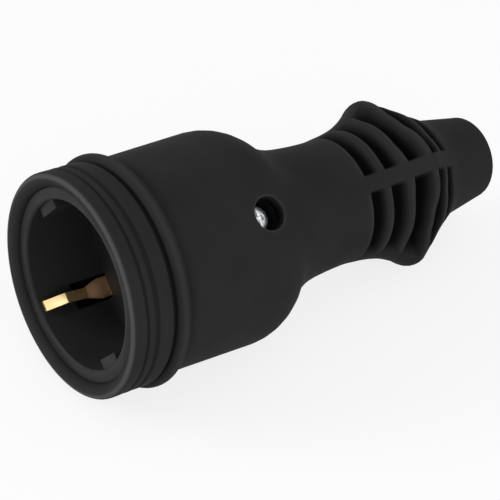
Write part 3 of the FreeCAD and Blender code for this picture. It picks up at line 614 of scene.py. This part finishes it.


# %% [markdown]
# ### Painted shade and painted highlights
#
# Light from all sides leaves the grooves too light and the edges too dark, so
# the net carries marks of painted shade for the grooves and painted highlights
# for the edges. A mark runs round the part. In the outline's plane it is a
# point: its place along the part, its radius, its strength, and the distances
# at which it starts to fade and is gone. The hood's slots and rings have marks
# of their own, which end at the ribs. A reach above 1 takes a slot's full
# painted shade some way up its rising floor.

# %% Marks on the outline and on the rings
# how far a slot's painted shade reaches, and the painted highlight on the rings' crests
SHADE_REACH, CREST_HIGHLIGHT = 2.4, 0.22
CREST_PLACE, CREST_REACH = 0.3, 0.9
# painted highlights on the rim's lip and on the bead's crest
PAINTED_HIGHLIGHT_LINES = ((0.15, COLLAR - 0.75, 0.9, 0.25, 0.8), (12.7, COLLAR + 1.2, 0.2, 0.2, 1.0))
# painted shade in the rim's seam with the insert, the collar's grooves and round the bead
PAINTED_SHADE_LINES = ((1.1, CAVITY + 0.4, 0.35, 0.5, 1.9),
              (3.75, COLLAR - GROOVE_DEPTH, 0.3, 0.3, 0.8),
              (6.2, COLLAR - GROOVE_DEPTH, 0.3, 0.4, 1.1),
              (11.0, COLLAR - 1.0, 0.7, 0.4, 1.4), (15.4, COLLAR - 0.75, 0.35, 0.2, 0.8))


def line_mark(x, r, lines):
    """How strongly a point of the outline is marked by the lines that pass near it."""
    strongest = 0.0
    for line_x, line_r, strength, near, far in lines:
        away = (math.dist((x, r), (line_x, line_r)) - near) / (far - near)
        strongest = max(strongest, strength * (1.0 - smooth_step(away)))
    return strongest


def ring_crest(x):
    """1 on the edge of a ring, just in front of the next slot, and 0 away from it."""
    return max(1.0 - smooth_step(abs(x - start + CREST_PLACE) / CREST_REACH)
               for start, _, _ in SLOTS)


# %% The lines that fan from rib to rib
MIDDLE_LINES, EDGE_STEPS, SKIN_ROUNDS = 22, 5, 3
WIDE_RIB = (4.0, 0.6)
SLIM_RIB = (2.3, 0.45)
RIBS = {0.0: WIDE_RIB, QUARTER: SLIM_RIB, 2 * QUARTER: WIDE_RIB}


def rib_lines(half_width, softness):
    """How far from a rib's middle its lines lie, closest at the edge of the slots."""
    edge = [half_width + softness * step / EDGE_STEPS
            for step in range(-EDGE_STEPS, EDGE_STEPS + 1)]
    return [0.0, edge[0] * 0.5] + edge


def fan_between(angle, next_angle):
    """Lines as (angle, offset) on one rib and on the next, and the share between."""
    leaving, arriving = rib_lines(*RIBS[angle]), rib_lines(*RIBS[next_angle])
    last = (next_angle, -arriving[-1])
    lines = [((angle, offset), last, 0.0) for offset in leaving]
    lines += [((angle, leaving[-1]), last, k / MIDDLE_LINES) for k in range(1, MIDDLE_LINES)]
    lines += [((angle, leaving[-1]), (next_angle, -offset), 1.0)
              for offset in reversed(arriving)]
    return lines


fan = fan_between(0.0, QUARTER) + fan_between(QUARTER, 2 * QUARTER)[1:]
print("lines across half of the housing:", len(fan))


def fan_angle(line, radius):
    """The angle of one line from the first rib, where it lies at this radius."""
    first, second = (angle + math.asin(offset / radius) for angle, offset in line[:2])
    return first + (second - first) * line[2]


def open_share(line):
    """0 on a rib, 1 clear of it, and between them the soft end of a slot."""
    if 0 < line[2] < 1:
        return 1.0
    angle, offset = line[round(line[2])]
    half_width, softness = RIBS[angle]
    return smooth_step((abs(offset) - half_width + softness) / (2 * softness))


def hood_radius(x, line):
    """The hood's radius on one line, slots included.

    A line's angle depends on the radius and the skin's radius on the angle, so
    both are found in a few rounds.
    """
    share, floor = slot_share(x)
    share *= open_share(line)
    radius = radius_at(valley_path, x)
    for _ in range(SKIN_ROUNDS):
        surface = skin(x, fan_angle(line, radius))
        radius = surface - (surface - floor) * share
    return radius


# %% Stations along the hood
WALL_STATIONS = [0.03 * k for k in range(8)] + [WALL]
CLIMB_STATIONS = [1.8 + 0.2 * k for k in range(15)]
slot_stations = [-0.5, -0.2] + WALL_STATIONS + [0.8, 1.4] + CLIMB_STATIONS
stations = [start + step for start, _, _ in SLOTS for step in slot_stations]
# the slope in front of the first slot, the rings' middles and the slope behind the last
stations += [73.0, 74.0, 75.0, 81.1, 87.0, 98.1, 104.0, 104.6, 105.2, 105.8, 106.6, 107.4,
             108.2]
stations.sort()
print("hood stations:", len(stations))


# %% Half of the housing
def half_mesh():
    """The net of the half that starts at the rib between +Y and +Z."""
    outline = [(x, r, False) for x, r in front_path]
    outline += [(x, 0.0, True) for x in stations]
    outline += [(x, r, False) for x, r in back_path[:-1]]
    corners, painted_shade, painted_highlight = [], [], []
    for x, r, in_hood in outline:
        for line in fan:
            radius = hood_radius(x, line) if in_hood else r
            if in_hood:
                # painted shade in the slots, and painted highlights on the rings' crests
                painted_shade.append(min(SHADE_REACH * slot_share(x)[0] * open_share(line), 1.0))
                painted_highlight.append(CREST_HIGHLIGHT * ring_crest(x) * open_share(line))
            else:
                # painted shade in the grooves, and painted highlights on the lip and the bead
                painted_shade.append(line_mark(x, r, PAINTED_SHADE_LINES))
                painted_highlight.append(line_mark(x, r, PAINTED_HIGHLIGHT_LINES))
            angle = QUARTER / 2 + fan_angle(line, radius)
            corners.append((x * MM, radius * MM * math.cos(angle),
                            radius * MM * math.sin(angle)))
    wide, rows = len(fan), len(outline)
    faces = []
    for row in range(rows):
        after = (row + 1) % rows
        faces += [(row * wide + k, row * wide + k + 1, after * wide + k + 1, after * wide + k)
                  for k in range(wide - 1)]
    mesh = bpy.data.meshes.new("housing_half")
    mesh.from_pydata(corners, [], faces)
    mesh.shade_smooth()
    mark_points(mesh, "painted_shade", painted_shade)
    mark_points(mesh, "painted_highlight", painted_highlight)
    return mesh


# %% [markdown]
# ### Two halves make the whole
#
# The node tree sets a short row of points, puts the half on each and turns it
# by its own share of a full turn. The copies are then made real, welded along
# their shared edges and given their material.

# %% A node tree that repeats a piece round the X axis


def repeat_round(piece, copies, weld, material):
    """Turn a piece into its copies round the X axis, welded, as one plain mesh."""
    tree = bpy.data.node_groups.new("repeat_round", "GeometryNodeTree")
    socket = tree.interface.new_socket
    socket("Geometry", in_out="INPUT", socket_type="NodeSocketGeometry")
    values = {"Copies": ("NodeSocketInt", copies), "Weld": ("NodeSocketFloat", weld),
              "Finish": ("NodeSocketMaterial", material)}
    names = {word: socket(word, in_out="INPUT", socket_type=kind).identifier
             for word, (kind, _) in values.items()}
    socket("Geometry", in_out="OUTPUT", socket_type="NodeSocketGeometry")

    def node(kind, **settings):
        made = tree.nodes.new(kind)
        for setting, value in settings.items():
            setattr(made, setting, value)
        return made

    def join(source, target):
        tree.links.new(source, target)

    given, result = node("NodeGroupInput"), node("NodeGroupOutput")
    points = node("GeometryNodeMeshLine")
    points.inputs["Offset"].default_value = (0.0, 0.0, 0.0)
    number = node("GeometryNodeInputIndex")
    share = node("ShaderNodeMath", operation="DIVIDE")
    share.inputs[0].default_value = math.tau
    angle = node("ShaderNodeMath", operation="MULTIPLY")
    turn = node("ShaderNodeCombineXYZ")
    place = node("GeometryNodeInstanceOnPoints")
    real = node("GeometryNodeRealizeInstances")
    welded = node("GeometryNodeMergeByDistance")
    finish = node("GeometryNodeSetMaterial")
    join(given.outputs["Copies"], points.inputs["Count"])
    join(given.outputs["Copies"], share.inputs[1])
    join(number.outputs[0], angle.inputs[0])
    join(share.outputs[0], angle.inputs[1])
    join(angle.outputs[0], turn.inputs["X"])
    join(points.outputs["Mesh"], place.inputs["Points"])
    join(given.outputs["Geometry"], place.inputs["Instance"])
    join(turn.outputs[0], place.inputs["Rotation"])
    join(place.outputs["Instances"], real.inputs["Geometry"])
    join(real.outputs["Geometry"], welded.inputs["Geometry"])
    join(given.outputs["Weld"], welded.inputs["Distance"])
    join(welded.outputs["Geometry"], finish.inputs["Geometry"])
    join(given.outputs["Finish"], finish.inputs["Material"])
    join(finish.outputs["Geometry"], result.inputs["Geometry"])

    modifier = piece.modifiers.new("repeat_round", "NODES")
    modifier.node_group = tree
    for word, (_, value) in values.items():
        modifier[names[word]] = value
    seen = piece.evaluated_get(bpy.context.evaluated_depsgraph_get())
    mesh = bpy.data.meshes.new_from_object(seen)
    piece.modifiers.clear()
    piece.data = mesh


HALVES, SEAM_GAP = 2, 0.02
housing = add_object("housing_skin", half_mesh())
repeat_round(housing, HALVES, SEAM_GAP * MM, rubber.material)
print("housing faces:", len(housing.data.polygons))

# %% [markdown]
# ### The screwdriver's hole
#
# One hole goes through the rubber, over the screw that holds the cable clamp.
# It opens on the rib that looks up at the camera. The net is cleared round
# it, outside and inside, and rings are set in: one on the skin, a rounded lip,
# the wall, and the inner edge. Rings with equally many points are joined by
# quads. The ragged edge of the cleared net has its own number of points, so it
# is joined by triangles that step along whichever ring is behind. The lip
# carries a painted highlight, and the wall painted shade that grows towards its
# inner edge.

# %% Rings about the hole
HOLE_X, HOLE_RADIUS, LIP = 40.0, 3.875, 0.3
HOLE_SIDES, LIP_STEPS = 64, 4
CLEARED, NEAR_SIDE = 1.4, 15.0
# the painted highlight on the hole's lip and the painted shade on its wall
HOLE_LIP_HIGHLIGHT, HOLE_SHADE = 0.3, 0.6
hole_out = Vector((0.0, -math.sqrt(0.5), math.sqrt(0.5)))
hole_side = Vector((0.0, math.sqrt(0.5), math.sqrt(0.5)))
inside_path = [(0.0, CAVITY), *CAVITY_SHOULDER]


def hole_place(point):
    """A point seen from the hole: along the part, across it, and out."""
    return point.x / MM - HOLE_X, point.dot(hole_side) / MM, point.dot(hole_out) / MM


def hole_angle(vert):
    """The angle of a vert about the hole, from 0 up to a full turn."""
    along, across, _ = hole_place(vert.co)
    return math.atan2(across, along) % math.tau


def outside_wall(vert):
    """Whether a vert lies nearer to the housing's outside than to its cavity."""
    x = vert.co.x / MM
    middle = (radius_at(front_path, x) + radius_at(inside_path, x)) / 2
    return math.hypot(vert.co.y, vert.co.z) > middle * MM


def hole_ring(net, radius, sink, path):
    """A circle about the hole, laid on an outline of the housing and lowered a little."""
    ring = []
    for k in range(HOLE_SIDES):
        turn = math.tau * k / HOLE_SIDES
        along, across = radius * math.cos(turn), radius * math.sin(turn)
        skin_radius = radius_at(path, HOLE_X + along) - sink
        out = math.sqrt(skin_radius ** 2 - across ** 2)
        ring.append(net.verts.new(Vector(((HOLE_X + along) * MM, 0, 0))
                                  + (hole_side * across + hole_out * out) * MM))
    return ring


def edge_ring(edges):
    """The verts of one closed loop of edges, in order, by rising angle."""
    beside = {}
    for edge in edges:
        for vert in edge.verts:
            beside.setdefault(vert, []).append(edge.other_vert(vert))
    start = min(beside, key=hole_angle)
    ring = [start, min(beside[start], key=hole_angle)]
    while True:
        onward = [vert for vert in beside[ring[-1]] if vert is not ring[-2]]
        if onward[0] is start:
            return ring
        ring.append(onward[0])


def join_rings(net, ring, following):
    """Close the gap between two rings that run the same way round the hole."""
    if len(ring) == len(following):
        for k in range(len(ring)):
            after = (k + 1) % len(ring)
            net.faces.new((ring[k], ring[after], following[after], following[k]))
        return

    def angle_after(verts, step):
        if step >= len(verts):
            return math.tau + hole_angle(verts[step - len(verts)])
        return hole_angle(verts[step])

    a = b = 0
    while a < len(ring) or b < len(following):
        here, there = ring[a % len(ring)], following[b % len(following)]
        if b >= len(following) or (a < len(ring) and
                                   angle_after(ring, a + 1) <= angle_after(following, b + 1)):
            net.faces.new((here, ring[(a + 1) % len(ring)], there))
            a += 1
        else:
            net.faces.new((here, following[(b + 1) % len(following)], there))
            b += 1


# %% Cut the hole
net = bmesh.new()
net.from_mesh(housing.data)
painted_highlight_layer, painted_shade_layer = (net.verts.layers.float[word] for word in ("painted_highlight", "painted_shade"))
cleared = []
for vert in net.verts:
    along, across, out = hole_place(vert.co)
    if out > NEAR_SIDE and math.hypot(along, across) < HOLE_RADIUS + CLEARED:
        cleared.append(vert)
bmesh.ops.delete(net, geom=cleared, context="VERTS")
open_edges = [edge for edge in net.edges if edge.is_boundary]
outer_edges = [edge for edge in open_edges if outside_wall(edge.verts[0])]
inner_edges = [edge for edge in open_edges if not outside_wall(edge.verts[0])]
rings = [edge_ring(outer_edges), hole_ring(net, HOLE_RADIUS + 2 * LIP, 0.0, front_path)]
for k in range(LIP_STEPS + 1):
    turn = QUARTER * k / LIP_STEPS
    rings.append(hole_ring(net, HOLE_RADIUS + LIP * (1 - math.sin(turn)),
                           LIP * (1 - math.cos(turn)), front_path))
    # painted highlight on the hole's lip
    for vert in rings[-1]:
        vert[painted_highlight_layer] = HOLE_LIP_HIGHLIGHT * math.cos(turn)
rings.append(hole_ring(net, HOLE_RADIUS, 0.0, inside_path))
# painted shade on the ring where the hole's wall meets the cavity
for vert in rings[-1]:
    vert[painted_shade_layer] = HOLE_SHADE
rings.append(edge_ring(inner_edges))
for ring, following in zip(rings, rings[1:]):
    join_rings(net, ring, following)
bmesh.ops.recalc_face_normals(net, faces=net.faces)
for face in net.faces:
    face.smooth = True
    face.material_index = 0
print("open edges left:", sum(edge.is_boundary for edge in net.edges))
net.to_mesh(housing.data)
housing.data.materials.clear()
housing.data.materials.append(rubber.material)
net.free()
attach(housing, "root")
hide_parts("rubber_housing")
